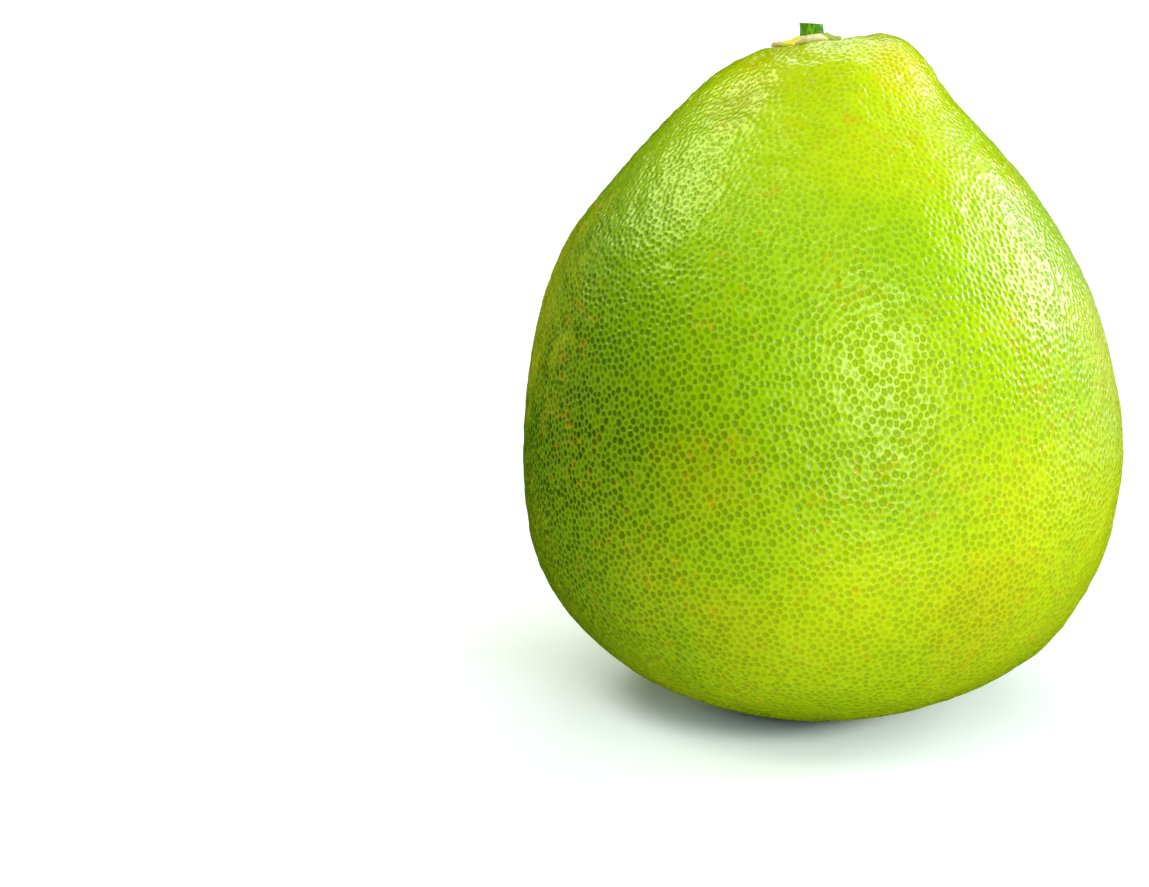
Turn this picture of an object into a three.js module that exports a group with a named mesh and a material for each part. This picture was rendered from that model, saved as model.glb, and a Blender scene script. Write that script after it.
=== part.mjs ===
// A whole pear-shaped pomelo with the stub of its stem, standing on the flat spot at its blossom end.
// Millimetres, +Z up. The origin is the middle of that flat spot. The stem end leans towards +Y, and the
// crown stands a little higher on its +X side.
//
// The fruit grew as one piece, so it is one solid. The calyx, the lobed button that held it on the tree, and
// the cut stem are of other colours and are solids of their own.

import * as THREE from "three";
import { ConvexHull } from "three/addons/math/ConvexHull.js";

// ---- Driving dimensions ----

// The rind's outline from the blossom end to the stem end: [radius, height, sway of the middle in X].
const PROFILE = [
  [0, -1, 0],
  [24.8, 0, 0],
  [56.4, 15, 0.2],
  [72.5, 37, 0],
  [77, 64.5, 1],
  [72.1, 98, -0.9],
  [59.4, 125, -4.8],
  [39.5, 148, -5.6],
  [25.7, 163.2, -2.3],
  [15.7, 168.5, 0],
  [10.5, 168, -1.4],
  [5, 168.1, -2],
  [0, 168.1, -2.2],
];
const CROWN_HEIGHT = 168.6;
const LEAN = 15; // how far the stem end leans towards +Y
const CROWN_RISE = 0.14; // slope of the crown, up towards +X
const CROWN_FALL = 0.25; // slope of the crown, down towards +Y
const CROWN_STARTS = 0.35; // the share of the height where those slopes begin

// The shallow furrows that run down from the stem end, as waves round the fruit.
const FLUTES = [
  { count: 3, height: 0.4, phase: 0.6 },
  { count: 5, height: 0.32, phase: 2.1 },
  { count: 8, height: 0.2, phase: 4 },
];
const FLUTES_FROM = 0.45; // the share of the height where the furrows begin
const FLUTES_TO = 0.85; // and where they are full

const LUMP_HEIGHT = 0.5; // broad unevenness of the rind
const LUMPS_FULL = 0.08; // the share of the height where it is full
const LUMP_WAVES = 7;
const LUMP_LENGTH = 34; // the shortest wave
const LUMP_LENGTH_STEP = 6; // each next wave is this much longer
const LUMP_PHASE_STEP = 1.7;

const HOLLOW_AT = [-23, -13, 161]; // one dent below the crown
const HOLLOW_REACH = 13;
const HOLLOW_DEPTH = 1.1;

// Oil glands dimple the whole rind. These are about four times as wide as real ones.
const GLANDS = 850;
const GLAND_DEPTH = 1.3;
const DEPTH_SCATTER = 0.3; // of that depth, from gland to gland
const GLAND_RADIUS = 0.35; // of the distance between glands
const GLAND_SIDES = 6;
const GLAND_SCATTER = 0.12; // of the distance between glands
const SEED = 7;
const FLAT_MARGIN = 3; // the dimples fade over this height above the flat spot
const SEAT_RADIUS = 12; // no dimples under the calyx

const CALYX_RADIUS = 9.2;
const CALYX_LOBES = 5;
const LOBE_LENGTH = 1;
const LOBE_BLUNTNESS = 0.7; // 1 gives a smooth wave, and less gives broad lobes with narrow notches
// The unevenness of the calyx's outline, as shares of its radius.
const CALYX_UNEVEN = [
  { count: 1, height: 0.2, phase: 3.1 },
  { count: 2, height: 0.08, phase: 1 },
  { count: 3, height: 0.06, phase: 4.7 },
];
const CALYX_THICKNESS = 1.7; // in the middle, under the stem
const LOBE_THICKNESS = 1.3;
const LOBE_CURL = 1.1; // the tips turn up
const NOTCH_DEPTH = 0.5;
const CALYX_TURN = 0.35;
const CALYX_STEPS = 60;
const CALYX_RINGS = 8;

const STEM_RADIUS = 2.9;
const STEM_FOOT_RADIUS = 3.5;
const STEM_LENGTH = 3;
const STEM_SIDES = 24;
const STEM_LEAN = [0.06, -0.1]; // slope against the calyx, in X and Y
const CUT_SLOPE = 0.2; // the cut end falls towards +X

const GAP = 0.3; // clearance between solids that touch

// ---- Small helpers ----

const GOLDEN_ANGLE = Math.PI * (3 - Math.sqrt(5));
const smooth = (from, to, x) => THREE.MathUtils.smoothstep(x, from, to);

// A seeded random number from -1 to 1.
let seed = SEED;
function scatter() {
  seed = (seed * 1664525 + 1013904223) % 4294967296;
  return (2 * seed) / 4294967296 - 1;
}

// A direction out of count directions spread evenly over a sphere.
function spread(index, count) {
  const z = (2 * (index + 0.5)) / count - 1;
  const r = Math.sqrt(1 - z * z);
  const angle = index * GOLDEN_ANGLE;
  return new THREE.Vector3(r * Math.cos(angle), r * Math.sin(angle), z);
}

// The height of a list of cosine waves at an angle.
function waves(list, angle) {
  return list.reduce((sum, wave) => sum + wave.height * Math.cos(wave.count * angle + wave.phase), 0);
}

function meshOf(name, geometry, color, roughness) {
  geometry.computeVertexNormals();
  const material = new THREE.MeshStandardMaterial({ color, roughness, metalness: 0 });
  const mesh = new THREE.Mesh(geometry, material);
  mesh.name = name;
  return mesh;
}

function indexedGeometry(points, triangles) {
  const geometry = new THREE.BufferGeometry().setFromPoints(points);
  geometry.setIndex(triangles.flat());
  return geometry;
}

// ---- The rind's surface ----

const outline = new THREE.CatmullRomCurve3(
  PROFILE.map(([radius, height, sway]) => new THREE.Vector3(radius, height, sway)),
  false,
  "catmullrom",
  0.5,
);

// The share of the rind's area that lies below each of many places along the outline.
const AREA_STEPS = 1200;
const areaBelow = [0];
for (let i = 1; i <= AREA_STEPS; i++) {
  const a = outline.getPoint((i - 1) / AREA_STEPS);
  const b = outline.getPoint(i / AREA_STEPS);
  areaBelow.push(areaBelow[i - 1] + (a.x + b.x) * Math.hypot(b.x - a.x, b.y - a.y));
}

// The place along the outline that has this share of the rind's area below it.
function placeAt(share) {
  const wanted = share * areaBelow[AREA_STEPS];
  let low = 0;
  let high = AREA_STEPS;
  while (high - low > 1) {
    const middle = (low + high) >> 1;
    if (areaBelow[middle] <= wanted) low = middle;
    else high = middle;
  }
  return (low + (wanted - areaBelow[low]) / (areaBelow[high] - areaBelow[low])) / AREA_STEPS;
}

// The broad unevenness, as a sum of waves that cross the fruit in directions spread evenly.
function lumps(point) {
  let sum = 0;
  for (let i = 0; i < LUMP_WAVES; i++) {
    const along = spread(i, LUMP_WAVES).dot(point);
    const length = LUMP_LENGTH + i * LUMP_LENGTH_STEP;
    sum += Math.sin((2 * Math.PI * along) / length + i * LUMP_PHASE_STEP);
  }
  return (2 * LUMP_HEIGHT * sum) / LUMP_WAVES;
}

// The point of the smooth rind at a share of its area, counted from the blossom end, and an angle round it.
function rindPoint(share, angle) {
  const { x: radius, y: height, z: sway } = outline.getPoint(placeAt(share));
  const up = THREE.MathUtils.clamp(height / CROWN_HEIGHT, 0, 1);
  const across = new THREE.Vector3(Math.cos(angle), Math.sin(angle), 0);
  const flutes = waves(FLUTES, angle) * smooth(FLUTES_FROM, FLUTES_TO, up);
  const rough = lumps(across.clone().multiplyScalar(radius).setZ(height)) * smooth(0, LUMPS_FULL, up);
  const swell = (flutes + rough) * smooth(SEAT_RADIUS, 2 * SEAT_RADIUS, radius);
  const point = across.multiplyScalar(radius + swell);
  const crown = smooth(CROWN_STARTS, 1, up);
  const z = height + crown * (CROWN_RISE * point.x - CROWN_FALL * point.y);
  return new THREE.Vector3(point.x + sway, point.y + LEAN * up * up, Math.max(z, 0));
}

// How deep the one dent is at a point.
function hollow(point) {
  const away = point.distanceTo(new THREE.Vector3(...HOLLOW_AT)) / HOLLOW_REACH;
  return HOLLOW_DEPTH * (1 - smooth(0, 1, away));
}

// The outward direction there.
function rindNormal(share, angle) {
  const step = 0.002;
  const low = Math.max(share - step, 0);
  const high = Math.min(share + step, 1);
  const upwards = rindPoint(high, angle).sub(rindPoint(low, angle));
  const around = rindPoint(share, angle + step).sub(rindPoint(share, angle - step));
  return around.cross(upwards).normalize();
}

// ---- The solids ----

// The directions of a gland's sunken middle and of the corners of its rim, for one gland after another. The
// glands lie on an evenly spread, slightly scattered lattice.
function glandDirections() {
  const pitch = Math.sqrt((4 * Math.PI) / GLANDS);
  const directions = [];
  for (let i = 0; i < GLANDS; i++) {
    const jitter = new THREE.Vector3(scatter(), scatter(), scatter()).multiplyScalar(GLAND_SCATTER * pitch);
    const middle = spread(i, GLANDS).add(jitter).normalize();
    const rim = new THREE.Vector3(0, 0, 1).cross(middle).setLength(GLAND_RADIUS * pitch);
    rim.applyAxisAngle(middle, Math.PI * scatter());
    directions.push(middle);
    for (let side = 0; side < GLAND_SIDES; side++) {
      directions.push(middle.clone().add(rim).normalize());
      rim.applyAxisAngle(middle, (2 * Math.PI) / GLAND_SIDES);
    }
  }
  return directions;
}

// The net of rind between the glands is the convex hull of those directions, wrapped on the fruit.
function fruitGeometry() {
  const directions = glandDirections();
  const points = directions.map((direction, i) => {
    const share = (direction.z + 1) / 2;
    const angle = Math.atan2(direction.y, direction.x);
    const point = rindPoint(share, angle);
    const fromStem = share > 0.5 ? outline.getPoint(placeAt(share)).x : Infinity;
    const fade = smooth(0, FLAT_MARGIN, point.z) * smooth(SEAT_RADIUS, SEAT_RADIUS + FLAT_MARGIN, fromStem);
    const isMiddle = i % (GLAND_SIDES + 1) === 0;
    const pit = isMiddle ? GLAND_DEPTH * (1 + DEPTH_SCATTER * scatter()) * fade : 0;
    return point.addScaledVector(rindNormal(share, angle), -hollow(point) - pit);
  });

  const numberOf = new Map(directions.map((direction, i) => [direction, i]));
  const hull = new ConvexHull().setFromPoints(directions);
  const triangles = hull.faces.map(({ edge }) =>
    [edge.tail(), edge.head(), edge.next.head()].map((vertex) => numberOf.get(vertex.point)),
  );
  return indexedGeometry(points, triangles);
}

// A flat-footed button whose rim runs out into lobes, with notches between them.
function calyxGeometry() {
  const points = [new THREE.Vector3(0, 0, 0)];
  const triangles = [];
  const ring = (radiusShare, heightAt) => {
    for (let i = 0; i < CALYX_STEPS; i++) {
      const angle = (2 * Math.PI * i) / CALYX_STEPS;
      const lobe = Math.abs(Math.cos((CALYX_LOBES * (angle + CALYX_TURN)) / 2)) ** LOBE_BLUNTNESS;
      const reach = (CALYX_RADIUS + 2 * LOBE_LENGTH * (lobe - 1)) * (1 + waves(CALYX_UNEVEN, angle));
      const radius = radiusShare * THREE.MathUtils.lerp(CALYX_RADIUS - LOBE_LENGTH, reach, radiusShare);
      points.push(new THREE.Vector3(radius * Math.cos(angle), radius * Math.sin(angle), heightAt(lobe)));
    }
  };
  const topAt = (share) => (lobe) => {
    const edge = LOBE_THICKNESS + LOBE_CURL * lobe * share ** 3 - NOTCH_DEPTH * (1 - lobe);
    return THREE.MathUtils.lerp(CALYX_THICKNESS, edge, smooth(0.45, 1, share));
  };
  ring(0.5, () => 0);
  ring(0.9, () => 0);
  ring(1, (lobe) => 0.3 * topAt(1)(lobe));
  for (let i = CALYX_RINGS; i > 0; i--) ring(i / (CALYX_RINGS + 1), topAt(i / (CALYX_RINGS + 1)));
  points.push(new THREE.Vector3(0, 0, CALYX_THICKNESS));

  const rings = (points.length - 2) / CALYX_STEPS;
  const last = points.length - 1;
  for (let i = 0; i < CALYX_STEPS; i++) {
    const next = (i + 1) % CALYX_STEPS;
    triangles.push([0, 1 + next, 1 + i]);
    triangles.push([last, last - CALYX_STEPS + i, last - CALYX_STEPS + next]);
    for (let r = 0; r < rings - 1; r++) {
      const [a, b] = [1 + r * CALYX_STEPS + i, 1 + r * CALYX_STEPS + next];
      triangles.push([a, b, b + CALYX_STEPS], [a, b + CALYX_STEPS, a + CALYX_STEPS]);
    }
  }
  return indexedGeometry(points, triangles);
}

// The cut stub: it spreads at the foot, leans, and ends in a slanted cut.
function stemGeometry() {
  const side = [
    [0, 0],
    [STEM_FOOT_RADIUS, 0],
    [STEM_FOOT_RADIUS * 0.97, 0.12 * STEM_LENGTH],
    [STEM_RADIUS * 1.03, 0.32 * STEM_LENGTH],
    [STEM_RADIUS * 0.97, 0.7 * STEM_LENGTH],
    [STEM_RADIUS, 0.95 * STEM_LENGTH],
    [STEM_RADIUS * 0.9, STEM_LENGTH],
    [0, STEM_LENGTH],
  ];
  const geometry = new THREE.LatheGeometry(
    side.map(([radius, height]) => new THREE.Vector2(radius, height)),
    STEM_SIDES,
  ).rotateX(Math.PI / 2);
  const position = geometry.getAttribute("position");
  for (let i = 0; i < position.count; i++) {
    const [x, y, z] = [position.getX(i), position.getY(i), position.getZ(i)];
    const cut = (1 - (CUT_SLOPE * x) / STEM_LENGTH) * z;
    position.setXYZ(i, x + STEM_LEAN[0] * z, y + STEM_LEAN[1] * z, cut);
  }
  return geometry;
}

// ---- Assembly ----

const fruit = meshOf("fruit", fruitGeometry(), 0xa8cc10, 0.38);
const calyx = meshOf("calyx", calyxGeometry(), 0xc9b23c, 0.75);
const stem = meshOf("stem", stemGeometry(), 0x4f8f1c, 0.6);

// The crown carries the calyx and the stem on its flat seat, square to its slope.
const crown = new THREE.Group();
const seatNormal = new THREE.Vector3(-CROWN_RISE, CROWN_FALL, 1).normalize();
crown.position.copy(rindPoint(1, 0)).addScaledVector(seatNormal, GAP);
crown.quaternion.setFromUnitVectors(new THREE.Vector3(0, 0, 1), seatNormal);
crown.add(calyx, stem);
stem.position.z = CALYX_THICKNESS + GAP;

const pomelo = new THREE.Group();
pomelo.add(fruit, crown);

export default pomelo;
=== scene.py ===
"""A whole green pomelo in soft studio light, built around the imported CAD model.

The CAD solids carry the size, the mass and the collision. This script replaces their looks: the rind with
its oil glands at their real size, the dry calyx, and the cut stub of the stem. Sizes are in millimetres
unless a note says metres, and MM turns them into metres. Colours are linear red, green and blue.
"""
import math

import bpy
import numpy as np
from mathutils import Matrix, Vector, kdtree, noise
from mathutils.geometry import delaunay_2d_cdt


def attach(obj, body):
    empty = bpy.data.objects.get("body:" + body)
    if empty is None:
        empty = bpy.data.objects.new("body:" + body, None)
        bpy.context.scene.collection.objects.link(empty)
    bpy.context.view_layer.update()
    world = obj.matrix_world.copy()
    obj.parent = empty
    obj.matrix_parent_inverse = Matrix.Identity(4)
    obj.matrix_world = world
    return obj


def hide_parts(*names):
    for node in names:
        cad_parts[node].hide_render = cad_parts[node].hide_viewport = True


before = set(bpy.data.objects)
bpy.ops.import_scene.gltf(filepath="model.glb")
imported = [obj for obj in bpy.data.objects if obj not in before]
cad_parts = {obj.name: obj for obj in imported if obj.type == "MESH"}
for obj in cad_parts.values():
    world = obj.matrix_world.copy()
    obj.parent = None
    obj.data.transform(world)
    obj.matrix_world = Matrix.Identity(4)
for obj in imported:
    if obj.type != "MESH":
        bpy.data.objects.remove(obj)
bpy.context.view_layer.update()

MM = 0.001
SEED = 11
GOLDEN_ANGLE = math.pi * (3 - math.sqrt(5))

# ---- The fruit's form, the same as in the CAD source ----

# From the blossom end to the stem end: [radius, height, sway of the middle in X].
PROFILE = np.array([
    [0, -1, 0],
    [24.8, 0, 0],
    [56.4, 15, 0.2],
    [72.5, 37, 0],
    [77, 64.5, 1],
    [72.1, 98, -0.9],
    [59.4, 125, -4.8],
    [39.5, 148, -5.6],
    [25.7, 163.2, -2.3],
    [15.7, 168.5, 0],
    [10.5, 168, -1.4],
    [5, 168.1, -2],
    [0, 168.1, -2.2],
])
CROWN_HEIGHT = 168.6
LEAN = 15.0
CROWN_RISE = 0.14
CROWN_FALL = 0.25
CROWN_STARTS = 0.35

FLUTES = [(3, 0.4, 0.6), (5, 0.32, 2.1), (8, 0.2, 4.0)]  # count round the fruit, height, phase
FLUTES_FROM = 0.45
FLUTES_TO = 0.85

LUMP_HEIGHT = 0.5
LUMPS_FULL = 0.08          # of the crown's height: lumps fade out below it
CALM_RADIUS = 12.0         # no flutes or lumps nearer to the axis
ROUGH_RADIUS = 24.0        # and all of them beyond this
LUMP_WAVES = 7
LUMP_LENGTH = 34.0
LUMP_LENGTH_STEP = 6.0
LUMP_PHASE_STEP = 1.7

HOLLOW_AT = np.array([-23.0, -13.0, 161.0])  # a shallow hollow beside the calyx
HOLLOW_REACH = 13.0
HOLLOW_DEPTH = 1.1

# ---- The rind's fine relief ----

GLANDS = 24000
GLAND_SCATTER = 0.55       # of the distance between glands, before they are spread again
GLAND_GROWTH = 0.14        # glands lie closer at the crown than low down
SPREAD_STEPS = 5
SPREAD_REACH = 1.15        # glands nearer than this share of the distance push each other away
SPREAD_RATE = 0.4
NEIGHBOURS = 7
GLAND_DEPTH = 0.12
DEPTH_SCATTER = 0.4        # of that depth, from gland to gland
RIDGE_LENGTH = 3.0         # the net between the glands rises and falls
RIDGE_HEIGHT = 0.17
SEAT_RADIUS = 9.0          # no relief under the calyx
GLANDS_FULL = 11.7         # the glands' full depth beyond this radius
RELIEF_FULL = 12.6         # and the other relief's beyond this one
FLAT_MARGIN = 2.5          # the relief fades over this height above the floor

RIPPLE_LENGTH = 4.6        # the unevenness that breaks the highlights up
RIPPLE_HEIGHT = 0.22
SWELL_LENGTH = 15.0
SWELL_HEIGHT = 0.33
CREASE_LENGTH = (9.0, 2.6)  # fine creases near the crown: round the fruit, and up it
CREASE_HEIGHT = 0.28
CREASES_FROM = 0.55
CREASES_TO = 0.85

SCAR_RADIUS = 7.0          # the scar at the blossom end
SCAR_SIDES = 40
SCAR_RINGS = 8
SCAR_DEPTH = 1.1
NAVEL_RADIUS = 17.0        # the rind rises clear of the floor inside this radius
NAVEL_DEPTH = 0.5

# What a face corner off the glands stores: offset from a gland's middle, tone, rim.
OFF_GLAND = (1.6, 0.0, 0.5, 1.0)

# Relief that only the shading shows.
GLAND_BUMP = 0.2           # the rounding of each gland
BOWL_HEIGHTS = (110, 150)  # the glands grow shallower between these heights
CROWN_BOWL = 0.7           # to this share
BOWL = [(0.0, 0.0), (0.22, 0.05), (0.45, 0.36), (0.66, 0.74), (0.86, 0.97), (1.0, 1.0)]  # outwards
PEBBLE_SIZE = 2.3          # an unevenness unlike from gland to gland
PEBBLE_BUMP = 0.26
CROWN_PEBBLES = 0.35       # this share of them on the crown
STREAK_SIZE = 1.3          # streaks round the upper part
STREAK_STRETCH = (3, 3, 1)
STREAK_BUMP = 0.28
STREAK_HEIGHTS = (100, 140)  # streaks appear between these heights, and pebbles fade
GRAIN_SIZE = 0.45
GRAIN_BUMP = 0.02

# ---- The rind's colours ----

GREEN_NET = (0.325, 0.57, 0.0015)     # between the glands, on unripe rind
RIPE_NET = (0.53, 0.66, 0.0015)
GREEN_GLAND = (0.18, 0.37, 0.0005)
RIPE_GLAND = (0.35, 0.455, 0.0005)
GREENEST_HEIGHT = 120.0    # the rind is riper above and below
RIPENING_UP = 6.0          # for each metre from that height
RIPENING_RIGHT = 3.5       # for each metre to the right
CROWN_RIPENESS = 0.35
CROWN_HEIGHTS = (150, 172)
RIPE_PATCHES = 1.1
RIPE_PATCH_SIZE = 30.0

DOT_HEIGHTS = (115, 155)   # the dots over the glands grow paler between these heights
CROWN_DOT = 0.55           # to this share
DOT_NOISE_SIZE = 0.7       # makes the dots uneven

# Painted shade darkens the left side, the glands more than the net.
SHADE_HEIGHT = 84.0        # the middle of the painted shade on the left side
NET_SHADE = (0.43, 0.50, 0.4)         # painted shade: multiplies the net's colour there
GLAND_SHADE = (0.07, 0.10, 0.2)
LOW_SHADE_HEIGHT = 62.0    # painted shade deepens the colours from here down to the floor
LOW_SHADE = (0.62, 0.68, 0.6)

# Patches of another colour: middle, radius, colour, share.
PATCHES = [
    ((20, -7, 167), 11, (0.62, 0.58, 0.001), 0.75),    # yellow, on the crown
    ((-22, -15, 161), 13, (0.38, 0.48, 0.001), 0.6),   # olive, in the hollow
    ((-66, 14, 104), 44, (0.52, 0.60, 0.001), 0.6),    # yellow, on the left
    ((14, -72, 88), 26, (0.32, 0.52, 0.001), 0.5),     # green, in front: painted shade where the umbrella's light is strongest
    ((4, -42, 122), 24, (0.33, 0.54, 0.001), 0.4),
    ((38, -64, 45), 19, (0.60, 0.54, 0.001), 0.5),     # yellow, low in front
    ((-32, -66, 80), 17, (0.46, 0.44, 0.001), 0.2),
    ((-24, -68, 42), 16, (0.50, 0.50, 0.001), 0.4),
    ((45, 55, 96), 24, (0.58, 0.52, 0.001), 0.5),      # yellow, at the back
    ((-40, 56, 60), 20, (0.50, 0.46, 0.001), 0.45),
]
PATCH_GLAND = (0.6, 0.62, 1.0)        # turns a patch's colour into that of its glands
FRECKLE = (0.60, 0.36, 0.004)
FRECKLE_SHARE = 0.4
FRECKLE_SIZE = 3.2
FRECKLE_ZONE_SIZE = 24.0

RIND_ROUGHNESS = (0.18, 0.24)
RIND_ROUGHNESS_SIZE = 9.0
DOT_ROUGHNESS = 0.08       # added in the dots
RIND_IOR = 1.42
GLOSS_HEIGHTS = (0, 60)
GLOSS_LEVELS = (0.15, 0.34)
DOT_GLOSS = 0.55           # of the net's
RIND_GLOSS_TINT = (0.95, 1.0, 0.24)
NET_COAT = 0.42
DOT_COAT = 0.18
COAT_ROUGHNESS = 0.16

# ---- Calyx and stem ----

GAP = 0.3                  # between the rind and the calyx, and between the calyx and the stem
CALYX_LOBES = 5
CALYX_TIP_RADIUS = 9.0
CALYX_DISK_RADIUS = 8.2
NOTCH_LENGTH = 2.0         # a notch between lobes ends this much nearer to the middle than a tip
NOTCH_DEPTH = 0.5
LOBE_BLUNTNESS = 0.7
CALYX_UNEVEN = [(1, 0.2, 3.1), (2, 0.08, 1.0), (3, 0.06, 4.7)]  # count round the calyx, share, phase
CALYX_THICKNESS = 1.7
LOBE_THICKNESS = 0.7
CALYX_TURN = 0.35
CALYX_STEPS = 180
CALYX_RINGS = 26
UNDERSIDE_SHARES = (0.35, 0.6, 0.75, 0.85, 0.92, 0.97)

# Each lobe, from the one at the right round to the front: how far it turns up, its colour, and how worn its
# edge is.
LOBE_CURLS = [0.1, 0.7, 0.9, 0.9, 1.5]
LOBE_TINTS = [
    (0.30, 0.42, 0.02, 0.1),
    (0.20, 0.30, 0.03, 0.2),
    (0.74, 0.66, 0.16, 0.6),
    (0.88, 0.80, 0.02, 0.2),
    (0.86, 0.82, 0.36, 0.6),
]
TIP_TINT = (0.62, 0.46, 0.16, 0.8)  # on the leftmost tip
TIP_FROM = 7.5
TIP_TO = 9.5
PALE_EDGE = (0.92, 0.86, 0.50)
BROWN_EDGE = (0.60, 0.42, 0.14)
CRACK = (0.30, 0.16, 0.04)

STEM_RADIUS = 2.9
STEM_FOOT_RADIUS = 3.5
STEM_LENGTH = 3.0
STEM_LEAN = (0.06, -0.1)
STEM_SINK = 0.3            # the stem's foot reaches down across the gap
CUT_SLOPE = 0.2
CUT_BEVEL = 0.15
STEM_SIDES = 96
STEM_RINGS = 16
CUT_SHARES = (0.89, 0.85, 0.78, 0.7, 0.6, 0.5, 0.4, 0.3, 0.2, 0.1)
DARK_BARK = (0.012, 0.10, 0.001)
PALE_BARK = (0.11, 0.36, 0.002)
DARK_WOOD = (0.62, 0.56, 0.34)
PALE_WOOD = (0.86, 0.80, 0.60)
BARK_GLOSS_TINT = (0.8, 1.0, 0.2)

# ---- Camera, in the photograph's frame ----

PHOTO_WIDTH = 1149
PHOTO_HEIGHT = 887
PIXEL = 0.2558             # millimetres for one pixel, at the fruit
TARGET_HEIGHT = 88.0       # this height on the fruit's axis
TARGET_PIXEL = (820, 363)  # shows here
CAMERA_DISTANCE = 1400.0
CAMERA_ELEVATION = math.radians(18)
SENSOR_WIDTH = 36.0
CLIP_END = 50              # in metres

# ---- Floor and lights ----

FLOOR_HALF = 4000.0
FLOOR_COLOURS = (0.74, 0.79, 0.73), (0.76, 0.81, 0.75)
PAINTED_FLOOR_LIGHT = 0.28          # painted light: the floor glows, but for a painted shadow under the fruit
PAINTED_LIGHT_TINT = (0.97, 1.0, 1.0)
# The painted shadow under the fruit, where the floor does not glow
PAINTED_SHADOW_MIDDLE = (-16, -4, 0)
PAINTED_SHADOW_RADIUS = 26.0
PAINTED_LIGHT_RADIUS = 42.0         # the painted light is full beyond this distance from the painted shadow's middle

LEAF_TINT = (0.94, 1.0, 0.6)
WHITE_TINT = (1.0, 1.0, 1.3)

# Each light's direction from the fruit is its azimuth, from the camera's side round to the right, and its
# elevation, in degrees. Its distance, width and height are in metres.
LIGHTS = {
    "right_softbox": dict(direction=(112, 18), distance=1.5, size=(0.8, 0.66), radiance=9.5,
                          tint=WHITE_TINT),
    "right_top_softbox": dict(direction=(126, 36), distance=1.5, size=(0.6, 0.5), radiance=1.8),
    "left_softbox": dict(direction=(-110, 44), distance=1.6, size=(1.3, 0.7), radiance=6.5, tint=LEAF_TINT,
                         diffuse=False),
    "left_top_softbox": dict(direction=(-45, 60), distance=1.7, size=(0.7, 0.3), radiance=6.0,
                             tint=LEAF_TINT),
    "left_rim": dict(direction=(-132, 8), distance=1.5, size=(1.0, 0.8), radiance=6.5, gloss=False),
    "top_softbox": dict(direction=(6, 64), distance=2.1, size=(3.0, 2.4), radiance=1.75, gloss=False),
    "back_softbox": dict(direction=(166, 48), distance=1.5, size=(1.0, 0.7), radiance=3.0,
                         at=(-0.05, 0.2, 0)),
    "white_floor": dict(direction=(0, -90), distance=0.1, size=(1.4, 1.8), radiance=0.5,
                        at=(0.95, 0.4, 0.103), diffuse=False),
}

# A round umbrella that fades outwards: each of its disks' width in metres and radiance.
UMBRELLA = {"umbrella_core": (0.8, 8.5), "umbrella": (1.4, 3.0), "umbrella_edge": (2.2, 0.7)}
UMBRELLA_DIRECTION = (22, 20)
UMBRELLA_DISTANCE = 2.2
UMBRELLA_TINT = (0.86, 0.9, 1.4)

WORLD_TOWARDS = (0.6, -0.8, 0)  # the surroundings are brightest on this side
WORLD_DIM = 0.2
WORLD_BRIGHT = 0.70


# ---- Small helpers ----

def smooth(start, end, x):
    share = np.clip((x - start) / (end - start), 0, 1)
    return share * share * (3 - 2 * share)


def grain(points, length, offset=0.0):
    """Smooth noise from about -1 to 1 at each point. length is one number, or one for each axis. Each
    offset gives another noise."""
    places = np.asarray(points) / length + offset
    return np.array([noise.noise(Vector(place)) for place in places])


def ring_faces(rings, sides):
    """Triangles of a closed body. Its points are the rings, from its underside round to its top, and then
    the middles of the underside and of the top."""
    bottom = rings * sides
    top = bottom + 1
    last = (rings - 1) * sides
    faces = []
    for i in range(sides):
        n = (i + 1) % sides
        faces.append((bottom, n, i))
        faces.append((top, last + i, last + n))
        for start in range(0, last, sides):
            a = start + i
            b = start + n
            faces.append((a, b, b + sides))
            faces.append((a, b + sides, a + sides))
    return faces


def mesh_object(name, points, faces, material):
    """A smooth-shaded object from points in millimetres."""
    mesh = bpy.data.meshes.new(name)
    mesh.from_pydata((np.asarray(points) * MM).tolist(), [], np.asarray(faces).tolist())
    mesh.polygons.foreach_set("use_smooth", [True] * len(mesh.polygons))
    mesh.materials.append(material)
    mesh.update()
    item = bpy.data.objects.new(name, mesh)
    bpy.context.scene.collection.objects.link(item)
    return item


def set_attribute(item, name, kind, domain, values):
    """Stores one value for each point or corner."""
    attribute = item.data.attributes.new(name, kind, domain)
    field = {"FLOAT": "value", "FLOAT_VECTOR": "vector", "FLOAT_COLOR": "color"}[kind]
    attribute.data.foreach_set(field, np.asarray(values, dtype=np.float32).ravel())


# ---- The rind's surface ----

def outline(place):
    """Radius, height and sway at places from 0 to 1 along the outline: a Catmull-Rom curve."""
    first = 2 * PROFILE[0] - PROFILE[1]
    last = 2 * PROFILE[-1] - PROFILE[-2]
    stations = np.vstack([first, PROFILE, last])
    along = np.clip(np.asarray(place, float), 0, 1) * (len(PROFILE) - 1)
    index = np.minimum(along.astype(int), len(PROFILE) - 2)
    w = (along - index)[..., None]
    before, start, end, after = (stations[index + k] for k in range(4))
    leave = (end - before) / 2
    arrive = (after - start) / 2
    cubic = 2 * start - 2 * end + leave + arrive
    square = -3 * start + 3 * end - 2 * leave - arrive
    return cubic * w ** 3 + square * w ** 2 + leave * w + start


def lumps(points):
    total = np.zeros(points.shape[:-1])
    for i in range(LUMP_WAVES):
        height = 2 * (i + 0.5) / LUMP_WAVES - 1
        ring = math.sqrt(1 - height * height)
        turn = i * GOLDEN_ANGLE
        direction = np.array([ring * math.cos(turn), ring * math.sin(turn), height])
        wave = 2 * math.pi * (points @ direction) / (LUMP_LENGTH + i * LUMP_LENGTH_STEP)
        total += np.sin(wave + i * LUMP_PHASE_STEP)
    return 2 * LUMP_HEIGHT * total / LUMP_WAVES


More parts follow.
